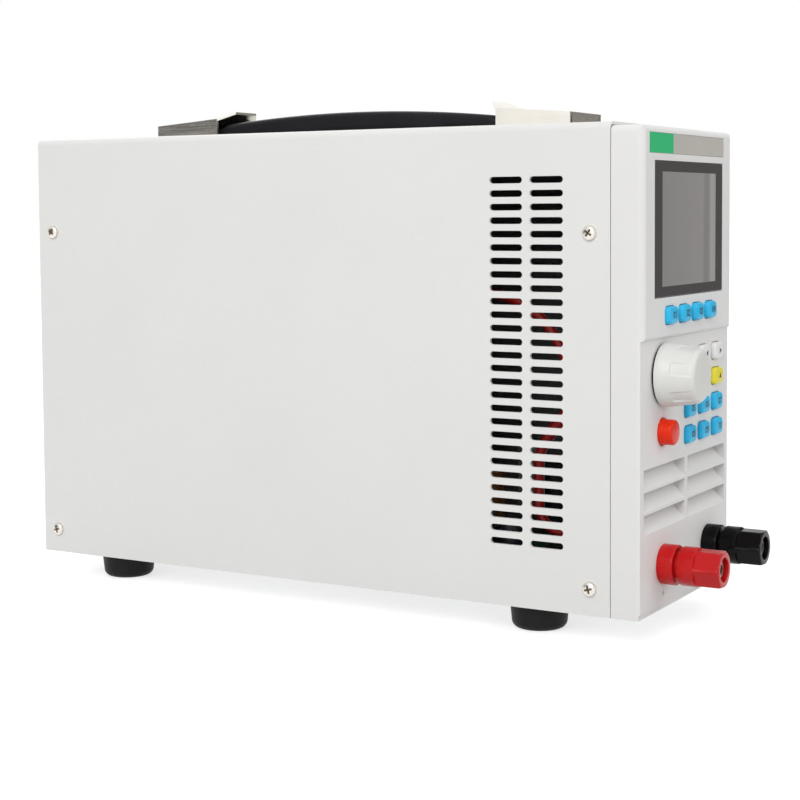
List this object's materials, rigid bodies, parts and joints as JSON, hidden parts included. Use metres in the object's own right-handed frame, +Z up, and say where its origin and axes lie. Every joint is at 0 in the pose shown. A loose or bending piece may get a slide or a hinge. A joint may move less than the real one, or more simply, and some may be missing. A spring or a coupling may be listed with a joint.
{
  "type": "dc electronic load",
  "caption": "Bench dc electronic load: tall sheet-steel case with side vents and strap handle, louvred plastic front with display, keys, knob and binding posts, fan and mains inlet behind.",
  "frame": {"origin": "on the ground under the middle of the part's whole width and length", "axes": "+X right seen from the front, +Y towards the rear panel, +Z up; the front panel faces -Y"},
  "size_m": [0.0958, 0.3082, 0.2023],
  "materials": {
    "painted_case": "fine powder coat, light warm grey",
    "zinc_sheet": "zinc plated sheet",
    "bezel_plastic": "spark-eroded moulded texture",
    "nickel": "nickel plate",
    "strap_rubber": "moulded strap, satin",
    "foot_rubber": "matt rubber",
    "lens": "clear acrylic with a dark printed border",
    "lcd": "unlit display",
    "name_label": "printed film",
    "key_blue": "silicone rubber key",
    "key_white": "silicone rubber key",
    "key_yellow": "silicone rubber key",
    "button_red": "glossy moulding",
    "knob_white": "satin moulding",
    "post_red": "glossy moulding",
    "post_black": "glossy moulding",
    "black_plastic": "matt moulding",
    "rocker_red": "glossy moulding",
    "port_metal": "tinned steel shell",
    "board_green": "solder mask",
    "sink_aluminium": "extruded, plain",
    "core_steel": "varnished laminations",
    "winding_copper": "taped copper winding",
    "wire_red": "insulated wire",
    "wire_black": "insulated wire",
    "nylon": "natural nylon"
  },
  "bodies": {
    "case": {"chassis_base": "zinc_sheet", "top_cover": "painted_case", "rear_panel": "painted_case", "front_frame": "zinc_sheet", "front_bezel": "bezel_plastic", "case_screws": "nickel", "rubber_feet": "foot_rubber", "handle_cap_front": "nickel", "handle_cap_rear": "nickel", "handle_screws": "nickel", "strap_flex_front": "strap_rubber", "strap_flex_rear": "strap_rubber", "display_lens": "lens", "lcd_module": "lcd", "name_strip": "name_label", "encoder_body": "black_plastic", "front_pcb": "board_green", "tact_switches": "black_plastic", "post_base_red": "post_red", "post_base_black": "post_black", "post_stem_red": "nickel", "post_stem_black": "nickel", "post_nuts": "nickel", "fan_frame": "black_plastic", "fan_guard": "nickel", "fan_screws": "nickel", "mains_inlet": "black_plastic", "rocker_frame": "black_plastic", "comm_port": "port_metal", "main_pcb": "board_green", "pcb_standoffs": "nylon", "heatsink": "sink_aluminium", "power_transistors": "black_plastic", "transformer_core": "core_steel", "transformer_winding": "winding_copper", "power_lead_red": "wire_red", "power_lead_black": "wire_black"},
    "mode_key_1": {"mode_key_1": "key_blue"},
    "mode_key_2": {"mode_key_2": "key_blue"},
    "mode_key_3": {"mode_key_3": "key_blue"},
    "mode_key_4": {"mode_key_4": "key_blue"},
    "arrow_key_left": {"arrow_key_left": "key_white"},
    "arrow_key_right": {"arrow_key_right": "key_white"},
    "shift_key": {"shift_key": "key_yellow"},
    "function_key_1": {"function_key_1": "key_blue"},
    "function_key_2": {"function_key_2": "key_blue"},
    "function_key_3": {"function_key_3": "key_blue"},
    "function_key_4": {"function_key_4": "key_blue"},
    "function_key_5": {"function_key_5": "key_blue"},
    "function_key_6": {"function_key_6": "key_blue"},
    "load_button": {"load_button": "button_red"},
    "knob": {"knob": "knob_white", "encoder_shaft": "nickel"},
    "post_washer_red": {"post_washer_red": "nickel"},
    "post_washer_black": {"post_washer_black": "nickel"},
    "post_cap_red": {"post_cap_red": "post_red"},
    "post_cap_black": {"post_cap_black": "post_black"},
    "handle_strap": {"strap_grip": "strap_rubber"},
    "fan_rotor": {"fan_impeller": "black_plastic"},
    "power_rocker": {"rocker_paddle": "rocker_red"}
  },
  "joints": [
    {"name": "mode_key_1_press", "type": "slide", "parent": "case", "child": "mode_key_1", "axis": [0, 1, 0], "range_m": [0, 0.001], "stiffness_N_per_m": 300, "springref_m": -0.0005},
    {"name": "mode_key_2_press", "type": "slide", "parent": "case", "child": "mode_key_2", "axis": [0, 1, 0], "range_m": [0, 0.001], "stiffness_N_per_m": 300, "springref_m": -0.0005},
    {"name": "mode_key_3_press", "type": "slide", "parent": "case", "child": "mode_key_3", "axis": [0, 1, 0], "range_m": [0, 0.001], "stiffness_N_per_m": 300, "springref_m": -0.0005},
    {"name": "mode_key_4_press", "type": "slide", "parent": "case", "child": "mode_key_4", "axis": [0, 1, 0], "range_m": [0, 0.001], "stiffness_N_per_m": 300, "springref_m": -0.0005},
    {"name": "arrow_key_left_press", "type": "slide", "parent": "case", "child": "arrow_key_left", "axis": [0, 1, 0], "range_m": [0, 0.001], "stiffness_N_per_m": 300, "springref_m": -0.0005},
    {"name": "arrow_key_right_press", "type": "slide", "parent": "case", "child": "arrow_key_right", "axis": [0, 1, 0], "range_m": [0, 0.001], "stiffness_N_per_m": 300, "springref_m": -0.0005},
    {"name": "shift_key_press", "type": "slide", "parent": "case", "child": "shift_key", "axis": [0, 1, 0], "range_m": [0, 0.001], "stiffness_N_per_m": 300, "springref_m": -0.0005},
    {"name": "function_key_1_press", "type": "slide", "parent": "case", "child": "function_key_1", "axis": [0, 1, 0], "range_m": [0, 0.001], "stiffness_N_per_m": 300, "springref_m": -0.0005},
    {"name": "function_key_2_press", "type": "slide", "parent": "case", "child": "function_key_2", "axis": [0, 1, 0], "range_m": [0, 0.001], "stiffness_N_per_m": 300, "springref_m": -0.0005},
    {"name": "function_key_3_press", "type": "slide", "parent": "case", "child": "function_key_3", "axis": [0, 1, 0], "range_m": [0, 0.001], "stiffness_N_per_m": 300, "springref_m": -0.0005},
    {"name": "function_key_4_press", "type": "slide", "parent": "case", "child": "function_key_4", "axis": [0, 1, 0], "range_m": [0, 0.001], "stiffness_N_per_m": 300, "springref_m": -0.0005},
    {"name": "function_key_5_press", "type": "slide", "parent": "case", "child": "function_key_5", "axis": [0, 1, 0], "range_m": [0, 0.001], "stiffness_N_per_m": 300, "springref_m": -0.0005},
    {"name": "function_key_6_press", "type": "slide", "parent": "case", "child": "function_key_6", "axis": [0, 1, 0], "range_m": [0, 0.001], "stiffness_N_per_m": 300, "springref_m": -0.0005},
    {"name": "load_button_press", "type": "slide", "parent": "case", "child": "load_button", "axis": [0, 1, 0], "range_m": [0, 0.001], "stiffness_N_per_m": 300, "springref_m": -0.0005},
    {"name": "knob_turn", "type": "hinge", "parent": "case", "child": "knob", "pos_m": [-0.0237, -0.13035, 0.0986], "axis": [0, -1, 0], "continuous": true},
    {"name": "post_washer_red_slide", "type": "slide", "parent": "case", "child": "post_washer_red", "axis": [0, -1, 0], "range_m": [0, 0.004]},
    {"name": "post_cap_red_turn", "type": "hinge", "parent": "post_washer_red", "child": "post_cap_red", "pos_m": [-0.023, -0.13035, 0.028], "axis": [0, -1, 0], "range_deg": [0, 1440]},
    {"name": "post_washer_black_slide", "type": "slide", "parent": "case", "child": "post_washer_black", "axis": [0, -1, 0], "range_m": [0, 0.004]},
    {"name": "post_cap_black_turn", "type": "hinge", "parent": "post_washer_black", "child": "post_cap_black", "pos_m": [0.023, -0.13035, 0.028], "axis": [0, -1, 0], "range_deg": [0, 1440]},
    {"name": "handle_lift", "type": "slide", "parent": "case", "child": "handle_strap", "axis": [0, 0, 1], "range_m": [0, 0.012], "deforming": ["strap_flex_front", "strap_flex_rear"]},
    {"name": "fan_spin", "type": "hinge", "parent": "case", "child": "fan_rotor", "pos_m": [0, 0.13545, 0.123], "axis": [0, 1, 0], "continuous": true},
    {"name": "power_rocker_tilt", "type": "hinge", "parent": "case", "child": "power_rocker", "pos_m": [0.02, 0.14765, 0.053], "axis": [1, 0, 0], "range_deg": [0, 20]}
  ],
  "couplings": [
    {"joint": "post_cap_red_turn", "follows": "post_washer_red_slide", "rad_per_m": 6283},
    {"joint": "post_cap_black_turn", "follows": "post_washer_black_slide", "rad_per_m": 6283}
  ]
}
